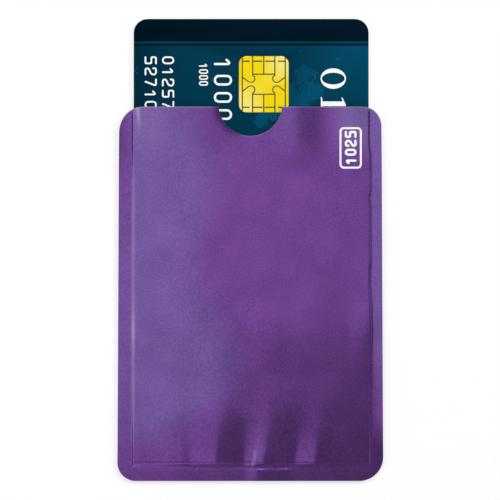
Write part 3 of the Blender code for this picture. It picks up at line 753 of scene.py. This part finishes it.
feed(tree, Base_Color=colour)

# %% [markdown]
# A card is laminated from sheets and then punched, which rounds its rim slightly. So a packed sheet's mesh
# is copied, its doubled points are merged, its flat triangles are joined, and its long edges get a small
# bevel that catches the light.


# %% Copies of packed sheets with softened rims
def merged_copy(node):
    """A bmesh of the node with merged points and joined flat faces."""
    bm = bmesh.new()
    bm.from_mesh(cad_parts[node].data)
    bmesh.ops.remove_doubles(bm, verts=bm.verts[:], dist=0.0005 * mm)
    bmesh.ops.dissolve_limit(bm, angle_limit=math.radians(1), verts=bm.verts[:], edges=bm.edges[:])
    return bm


def finished_mesh(name, bm):
    """Closes the bmesh into a shaded mesh."""
    mesh = bpy.data.meshes.new(name)
    bm.to_mesh(mesh)
    bm.free()
    return shaded(mesh)


card_bevel = 0.018 * mm
for name, node in (("card_face", "card_front_overlay"), ("card_back", "card_back_overlay")):
    bm = merged_copy(node)
    sharp = [edge for edge in bm.edges if edge.calc_face_angle(0) > math.radians(60)]
    bmesh.ops.bevel(bm, geom=sharp, offset=card_bevel, segments=2, affect="EDGES", clamp_overlap=True)
    add_piece(name, finished_mesh(name, bm), "card", card_print, [node])

# %% [markdown]
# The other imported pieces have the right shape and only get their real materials: white PVC sheets,
# enamelled copper wire, magnetic oxide tape, a signature panel in matt ink, glass-epoxy tape under the
# contacts, hot-melt glue, silicon and black resin.

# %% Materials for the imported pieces
looks = (
    ("card_front_print_sheet", "white_pvc_sheet", "e6e6e3", "f2f2f0", 0.5, 0.45),
    ("antenna_coil", "enamelled_copper_wire", "a5522a", "c46a38", 0.8, 0.28, 1.0),
    ("magnetic_stripe", "magnetic_oxide_tape", "17130f", "221c16", 1.0, 0.25),
    ("signature_panel", "signature_panel_ink", "e6e6e0", "f0f0ea", 0.3, 0.75),
    ("module_tape", "glass_epoxy_tape", "1c2a14", "2c3a1c", 0.3, 0.55),
    ("module_adhesive_ring", "hot_melt_glue", "bfb39a", "cdc2aa", 0.6, 0.5),
    ("chip_die", "polished_silicon", "50545c", "5f646e", 0.4, 0.15, 0.6),
    ("chip_resin_cap", "black_moulding_resin", "141414", "1d1d1d", 0.2, 0.4),
)
node_finishes = {node: drifting_finish(*look) for node, *look in looks}
for node in ("card_back_print_sheet", "antenna_inlay"):
    node_finishes[node] = node_finishes["card_front_print_sheet"]
for node, finish in node_finishes.items():
    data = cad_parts[node].data
    data.materials.clear()
    data.materials.append(finish)
print(len(node_finishes), "packed pieces keep their shape")

# %% [markdown]
# The contacts are etched from copper foil and plated with nickel and gold. Their colour holds a painted
# reflection of the studio: deep yellow towards two corners and paler towards the others. The etch eats the
# rim back, so each contact is pillowed: a copy gets an inset ring, and what lies outside it is lowered a
# little and painted darker, a painted shade along the grooves.

# %% The gold contacts
pillow_width, pillow_drop = 0.07 * mm, 0.02 * mm
gold_grain = 0.12
module_low, module_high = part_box("module_tape")
module_x, module_y = (module_low.x + module_high.x) / 2, (module_low.y + module_high.y) / 2

# Painted reflection: deep yellow where x times y from the middle is low and paler where it is high.
# Painted shade: darker rims.
gold, tree, place = new_finish("gold_plated_copper", 0.3, 0.5, Specular_IOR_Level=0.2)
offset = reckon(tree, "SUBTRACT", place, (module_x, module_y, 0), "VectorMath")
axes = add_node(tree, "SeparateXYZ", {"Vector": offset})
# Painted reflection: paler where x times y is high.
share = rescale(tree, reckon(tree, "MULTIPLY", axes["X"], axes["Y"]), -2 * mm**2, 16 * mm**2)
rim = add_node(tree, "Attribute", attribute_name="rim")["Fac"]
# Painted shade: the lowered rims take the darker a08c28.
colour = blend(tree, rim, blend(tree, share, "fbe000", "ffef7c"), "a08c28")
feed(tree, Base_Color=colour, Roughness=rescale(tree, noise(tree, place, gold_grain), 0, 1, 0.24, 0.36))


def pillowed_contact(node):
    """Insets the top face and lowers the points outside the inset. What is level stays flat-shaded."""
    bm = merged_copy(node)
    rim = bm.verts.layers.float.new("rim")
    top = [face for face in bm.faces if face.normal.z > 0.9]
    top_height = max(vert.co.z for vert in bm.verts)
    bmesh.ops.inset_region(bm, faces=top, thickness=pillow_width, use_even_offset=True)
    inner = {vert for face in top for vert in face.verts}
    for vert in bm.verts:
        if vert not in inner and vert.co.z > top_height - pillow_drop / 2:
            vert.co.z -= pillow_drop
            # Marks the lowered rim for its painted shade.
            vert[rim] = 1
    mesh = finished_mesh("gold_" + node, bm)
    mesh.polygons.foreach_set("use_smooth", [polygon.normal.z < 0.999 for polygon in mesh.polygons])
    return mesh


contact_nodes = sorted(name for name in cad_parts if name.startswith("contact_"))
for node in contact_nodes:
    add_piece("gold_" + node, pillowed_contact(node), "card", gold, [node])
print(len(contact_nodes), "contacts")

# %% [markdown]
# The card's rows and the sleeve's mark are digits. Print of this kind is drawn with one round-ended stroke,
# so each digit is a path with rounded corners. The stroke is the path's two offsets, joined by half circles
# at its ends. A closed path, the zero, gives two loops.

# %% Paths of the digits
square = ((0, 0), (1, 0), (1, 1), (0, 1))
digit_shares = {
    "0": square,
    "1": ((0.12, 0.72), (0.62, 1), (0.62, 0)),
    "2": ((0, 0.74), (0, 1), (1, 1), (1, 0.56), (0, 0.3), (0, 0), (1, 0)),
    "5": ((1, 1), (0, 1), (0, 0.56), (1, 0.56), (1, 0), (0, 0)),
    "7": ((0, 1), (1, 1), (0.35, 0)),
}


def unit(vector):
    """The vector divided by its length."""
    return vector / np.hypot(*vector)


def stroke_sides(corners, radius, half, closed):
    """
    Left and right side of the stroke. Each corner is an arc about the corner circle's centre, its radius plus
    half the stroke outside and minus half the stroke inside. Where the inside has no room for an arc, it is
    the one point where the two offset lines meet.
    """
    corners = np.array(corners, float)
    sides = ([], [])
    for n, corner in enumerate(corners):
        if not closed and n in (0, len(corners) - 1):
            ahead = unit(corners[1] - corner) if n == 0 else unit(corner - corners[n - 1])
            left = np.array([-ahead[1], ahead[0]])
            for points, sign in zip(sides, (1, -1)):
                points.append((corner + sign * half * left)[None])
            continue
        before, after = corner - corners[n - 1], corners[(n + 1) % len(corners)] - corner
        room = min(np.hypot(*before), np.hypot(*after)) / 2
        before, after = unit(before), unit(after)
        turn = math.atan2(before[0] * after[1] - before[1] * after[0], before @ after)
        side = math.copysign(1, turn)
        slope = math.tan(abs(turn) / 2)
        bend = min(radius, room / slope)
        sweep = np.linspace(0, turn, max(3, round(abs(turn) / math.radians(12)) + 1))[:, None]
        left = np.array([-before[1], before[0]])
        normals = np.cos(sweep) * left - np.sin(sweep) * before
        centre = corner - before * bend * slope + side * bend * left
        for points, sign in zip(sides, (1, -1)):
            reach = bend - side * sign * half
            meeting = corner + unit(after - before) * half / math.cos(turn / 2)
            points.append(centre - side * reach * normals if reach > half / 20 else meeting[None])
    return [np.concatenate(points) for points in sides]


# %% From a path to closed loops
def stroke_loops(corners, radius, stroke, closed):
    """Both sides of a closed path, or one loop round an open path with half circles at its ends."""
    left, right = stroke_sides(corners, radius, stroke / 2, closed)
    if closed:
        return [left, right]
    sweep = np.radians(np.linspace(0, 180, 9))[1:-1, None]
    caps = []
    for begin, end in ((left[-1], right[-1]), (right[0], left[0])):
        arm = (begin - end) / 2
        ahead = np.array([arm[1], -arm[0]])
        caps.append((begin + end) / 2 + np.cos(sweep) * arm + np.sin(sweep) * ahead)
    return [np.concatenate([left, caps[0], right[::-1], caps[1]])]


def digit_row(text, size, pitch, stroke, radius):
    """Loops of digits one pitch apart, each in a box of the size, all in mm. A space only moves on."""
    span = np.array(size) - stroke
    loops = []
    for place, digit in enumerate(text):
        if digit != " ":
            corners = np.array(digit_shares[digit]) * span
            bend = radius if digit in "02" else radius / 3
            for loop in stroke_loops(corners, bend, stroke, digit == "0"):
                loops.append((loop + (place * pitch + stroke / 2, stroke / 2)) * mm)
    return loops


# %% [markdown]
# Loops become a flat curve, which is filled and thickened, holes and all. As a mesh, each of its points can
# be moved by a function, onto the card or onto the curved wall. For the wall it is first cut in small cells,
# because a long triangle would cut through the wall.


# %% From loops to a thin printed piece
def cut_in_cells(bm, cell):
    """Cuts all faces along planes that stand one cell apart, across u and then across v."""
    for normal in ((1, 0, 0), (0, 1, 0)):
        reach = [vert.co.dot(normal) for vert in bm.verts]
        for place in np.arange(min(reach) + cell / 2, max(reach), cell):
            everything = bm.verts[:] + bm.edges[:] + bm.faces[:]
            bmesh.ops.bisect_plane(bm, geom=everything, plane_co=np.array(normal) * place, plane_no=normal)


ink_thickness = 0.006 * mm


def add_print(name, loops, place, body, ink, cell=None):
    """Fills and thickens the loops, moves each point (u, v, height) by the place function, adds the piece."""
    curve = bpy.data.curves.new(name, "CURVE")
    curve.dimensions = "2D"
    curve.fill_mode = "BOTH"
    curve.extrude = ink_thickness / 2
    for loop in loops:
        spline = curve.splines.new("POLY")
        spline.points.add(len(loop) - 1)
        spline.points.foreach_set("co", np.column_stack([loop, np.tile((0, 1), (len(loop), 1))]).ravel())
        spline.use_cyclic_u = True
    carrier = new_object(name, curve)
    graph = bpy.context.evaluated_depsgraph_get()
    mesh = bpy.data.meshes.new_from_object(carrier.evaluated_get(graph))
    bpy.data.objects.remove(carrier)
    mesh.materials.clear()
    bm = bmesh.new()
    bm.from_mesh(mesh)
    bmesh.ops.remove_doubles(bm, verts=bm.verts[:], dist=0.001 * mm)
    if cell:
        cut_in_cells(bm, cell)
    bmesh.ops.recalc_face_normals(bm, faces=bm.faces[:])
    bm.to_mesh(mesh)
    bm.free()
    points = np.zeros(len(mesh.vertices) * 3)
    mesh.vertices.foreach_get("co", points)
    u, v, height = points.reshape(-1, 3).T
    mesh.vertices.foreach_set("co", place(u, v, height + ink_thickness / 2).ravel())
    mesh.name = name
    add_piece(name, mesh, body, ink)


# %% [markdown]
# On the card a row runs along -Y, and the top of a digit is towards +X. The white ink lies on the film, and
# the two largest rows have a dark copy, slightly shifted, below them: a painted drop shadow. The title has
# thick stems and thin turns, so its loops are drawn as outlines.

# %% Rows of digits on the card
shadow_height, ink_height = 0.001 * mm, 0.008 * mm
shadow_shift = 0.13 * mm
white_ink = drifting_finish("white_card_ink", "f2f7f9", "ffffff", 0.4, 0.4)
# A painted drop shadow under the two largest rows.
shadow_ink = drifting_finish("painted_digit_shadow", "001a29", "002030", 0.4, 0.5, Specular_IOR_Level=0.1)
serif_one_shares = (
    (0.20, 0.0), (0.80, 0.0), (0.80, 0.045), (0.62, 0.07), (0.62, 1.0), (0.54, 1.0),
    (0.22, 0.87), (0.22, 0.83), (0.40, 0.87), (0.40, 0.07), (0.20, 0.045),
)
outer_ellipse, inner_ellipse = (0.47, 0.51), (0.27, 0.46)


def title_row(text, size, pitch):
    """Ones with serifs, and zeros as a ring between two ellipses of unlike width, in mm."""
    size = np.array(size)
    sweep = np.radians(np.arange(0, 360, 7.5))
    ring = np.column_stack([np.cos(sweep), np.sin(sweep)])
    loops = []
    for place, digit in enumerate(text):
        if digit == "1":
            shapes = [np.array(serif_one_shares)]
        else:
            shapes = [0.5 + ring * outer_ellipse, 0.5 + ring * inner_ellipse]
        loops += [(shape * size + (place * pitch, 0)) * mm for shape in shapes]
    return loops


def on_card(from_end, from_side, height):
    """Moves (u, v) to (from_side + v) from the card's left side and (from_end + u) from its leading end."""
    return lambda u, v, z: np.column_stack(
        [card_left + from_side + v, card_end - from_end - u, card_top + height + z]
    )


card_rows = (
    ("card_number", digit_row("1000 2000 5000 7000", (2.45, 4.2), 3.95, 0.5, 0.95), 8.9, 18.4, True),
    ("card_small_number", digit_row("1000", (1.05, 2.1), 1.36, 0.3, 0.45), 10.2, 15.0, False),
    ("card_upper_row", digit_row("0125702510", (1.8, 2.8), 2.56, 0.38, 0.8), 8.6, 6.5, False),
    ("card_lower_row", digit_row("5271052", (1.8, 2.8), 2.56, 0.38, 0.8), 8.6, 2.5, False),
    ("card_date_row", digit_row("01 25", (1.3, 2.4), 1.75, 0.32, 0.5), 44.0, 11.8, False),
    ("card_title", title_row("0101", (5.0, 5.7), 5.75), 11.2, 43.0, True),
)
for name, loops, from_end, from_side, has_shade in card_rows:
    place = on_card(from_end * mm, from_side * mm, ink_height)
    add_print(name, loops, place, "card", white_ink)
    # The shifted dark copy below is a painted drop shadow.
    if has_shade:
        place = on_card(from_end * mm + shadow_shift, from_side * mm - 2 * shadow_shift, shadow_height)
        add_print(name + "_shade", loops, place, "card", shadow_ink)

# %% [markdown]
# Two rows of dashes cross the contacts near their ends. The etch went through to the tape there, and here
# they are strips of the tape's colour let into the top of the gold.

# %% Dashes across the contacts
dash_from_middle = 5.3 * mm
dash_width = 0.3 * mm
dash_height = 0.001 * mm
dash_spans = ((-4.85, -3.4), (-2.4, -0.4), (0.35, 2.5), (3.35, 4.85))
dashes = []
for row in (-dash_from_middle, dash_from_middle):
    for start, stop in dash_spans:
        dashes += stroke_loops(((start * mm, row), (stop * mm, row)), 0, dash_width, False)


def on_module(u, v, z):
    """Lays (u, v) round the middle of the contacts."""
    return np.column_stack([module_x + u, module_y + v, card_top + dash_height + z])


add_print("contact_dashes", dashes, on_module, "card", node_finishes["module_tape"])

# %% [markdown]
# The sleeve's mark is a rounded frame with four digits, printed in white on the skin. Its points take their
# height from the wall's own form, so the ink follows the mouth's waves.

# %% The mark on the sleeve
mark_right, mark_bottom = 25.6 * mm, 28.8 * mm
mark_length, mark_width = 9.5 * mm, 5.1 * mm
mark_stroke, mark_radius = 0.44 * mm, 0.75 * mm
mark_height, mark_cell = 0.006 * mm, 0.5 * mm
mark_ink = drifting_finish("white_sleeve_ink", "f4f2f8", "ffffff", 0.5, 0.5)


def on_sleeve(along, across):
    """Turns a row a quarter left, so that it runs up along +Y, and lays it on the front wall."""
    def place(u, v, z):
        x, y = mark_right - across - v, mark_bottom + along + u
        wall = (skin_top + front_form(x / mm, y / mm)) * mm
        return np.column_stack([x, y, wall + mark_height + z])
    return place


span = np.array([mark_length, mark_width]) - mark_stroke
frame_corners = np.array(square) * span + mark_stroke / 2
frame_loops = stroke_loops(frame_corners, mark_radius, mark_stroke, True)
mark_digits = digit_row("1025", (1.62, 2.7), 2.05, 0.52, 0.7)
for name, loops, along, across in (
    ("sleeve_mark_frame", frame_loops, 0, 0),
    ("sleeve_mark_digits", mark_digits, 0.9 * mm, 1.2 * mm),
):
    add_print(name, loops, on_sleeve(along, across), "sleeve", mark_ink, mark_cell)

# %% [markdown]
# The picture is taken from straight above with a long lens, which keeps the card's sides parallel. The
# camera's distance follows from the 115 mm that the picture spans.

# %% Camera
picture_width = 115.1 * mm
picture_centre = (-0.07 * mm, 10.1 * mm)
lens = bpy.data.cameras.new("camera")
lens.lens = 200
camera = new_object("camera", lens)
camera.location = (*picture_centre, picture_width * lens.lens / lens.sensor_width)
bpy.context.scene.camera = camera
print("camera height (mm):", round(camera.location.z / mm, 1))

# %% [markdown]
# The table is a white sheet. In even light it isn't quite white to a camera, so its shader is mixed with
# plain white for the rays that look at it. The mix keeps part of the lit surface and so the soft shadow.

# %% The table
bpy.context.scene.view_settings.view_transform = "Standard"
table_lift_share, table_cloud = 0.6, 60
table_half_width, table_drop = 3.0, 0.02 * mm

# Matt white, and in part plain white to camera, mirrored and transmitted rays.
table_paper, tree, place = new_finish("white_paper_sheet", 0.9, Specular_IOR_Level=0.0)
feed(tree, Base_Color=blend(tree, noise(tree, place, table_cloud), "fdfdfd", "ffffff"))
path = add_node(tree, "LightPath")
seen = reckon(tree, "MAXIMUM", path["Is Camera Ray"], path["Is Glossy Ray"])
seen = reckon(tree, "MAXIMUM", seen, path["Is Transmission Ray"])
seen = reckon(tree, "MULTIPLY", seen, table_lift_share)
white = add_node(tree, "Emission", {"Strength": 1.0})[0]
lit = tree.nodes["Principled BSDF"].outputs[0]
mix = add_node(tree, "MixShader", {0: seen, 1: lit, 2: white})[0]
tree.links.new(mix, tree.nodes["Material Output"].inputs["Surface"])

table_mesh = bpy.data.meshes.new("table")
table_corners = (np.array(square) * 2 - 1) * table_half_width
table_mesh.from_pydata([(*corner, -table_drop) for corner in table_corners], [], [(0, 1, 2, 3)])
table_mesh.materials.append(table_paper)
new_object("table", table_mesh)

# %% [markdown]
# A metallised skin shows its surroundings, so the studio matters as much as the lamps. Its walls are pale,
# and its ceiling is a little dimmer.

# %% World
wall_brightness, wall_end = 0.38, 0.85
ceiling_brightness, ceiling_start = 0.3, 0.95
world = bpy.data.worlds.new("studio")
world.use_nodes = True
tree = world.node_tree
direction = add_node(tree, "TexCoord")["Generated"]
height = add_node(tree, "SeparateXYZ", {"Vector": direction})["Z"]
fall = (wall_end, ceiling_start, wall_brightness, ceiling_brightness)
brightness = rescale(tree, height, *fall, interpolation_type="SMOOTHSTEP")
tree.links.new(brightness, tree.nodes["Background"].inputs["Strength"])
tree.nodes["Background"].inputs["Color"].default_value = (1, 1, 1, 1)
bpy.context.scene.world = world

# %% [markdown]
# A very large soft panel hangs over the table on the left, and a second one, turned, reaches further right.
# Their edges, mirrored in the skin, take the violet from pale to deep towards the lower right. A fold that
# leans towards them turns pale, and one that leans away turns dark. Three low strips are mirrored in the
# steps at the left seam, the right seam and the floor. Two small lamps, right and behind, cast the shadow.


# %% Lamps
def soft_panel(name, place, size, radiance, turn=None):
    """A panel of size (x, y); radiance 1 is white. It faces down, turned about +Z, or else the origin."""
    data = bpy.data.lights.new(name, "AREA")
    data.shape = "RECTANGLE"
    data.size, data.size_y = size
    data.energy = radiance * math.pi * size[0] * size[1]
    lamp = new_object(name, data)
    lamp.location = place
    facing = (-lamp.location).to_track_quat("-Z", "Y").to_euler()
    lamp.rotation_euler = facing if turn is None else (0, 0, turn)
    lamp.visible_camera = False


panel_height, panel_size = 0.9, 1.4
main_right_edge, main_front_edge = -0.03, -0.146
main_place = (main_right_edge - panel_size / 2, main_front_edge + panel_size / 2, panel_height)
fringe_turn, fringe_front_edge, fringe_right_edge = math.radians(30), 0.053, 0.128
to_front, to_right = fringe_front_edge - panel_size / 2, fringe_right_edge - panel_size / 2
fringe_place = (
    to_front * math.sin(fringe_turn) + to_right * math.cos(fringe_turn),
    to_right * math.sin(fringe_turn) - to_front * math.cos(fringe_turn),
    panel_height,
)
lamps = (
    ("main_panel", main_place, (panel_size, panel_size), 0.7, 0),
    ("fringe_panel", fringe_place, (panel_size, panel_size), 0.75, fringe_turn),
    ("seam_strip", (-0.25, -0.008, 0.08), (0.11, 0.16), 0.75),
    ("right_strip", (0.25, 0.05, 0.08), (0.1, 0.16), 0.25),
    ("foot_strip", (-0.1, -0.25, 0.19), (0.2, 0.38), 0.65),
    ("side_lamp", (0.8, 0.5, 0.75), (0.25, 0.25), 28.0),
    ("back_lamp", (0.1, 0.9, 1.0), (0.25, 0.25), 15.0),
)
for lamp in lamps:
    soft_panel(*lamp)
print(len(lamps), "lamps")
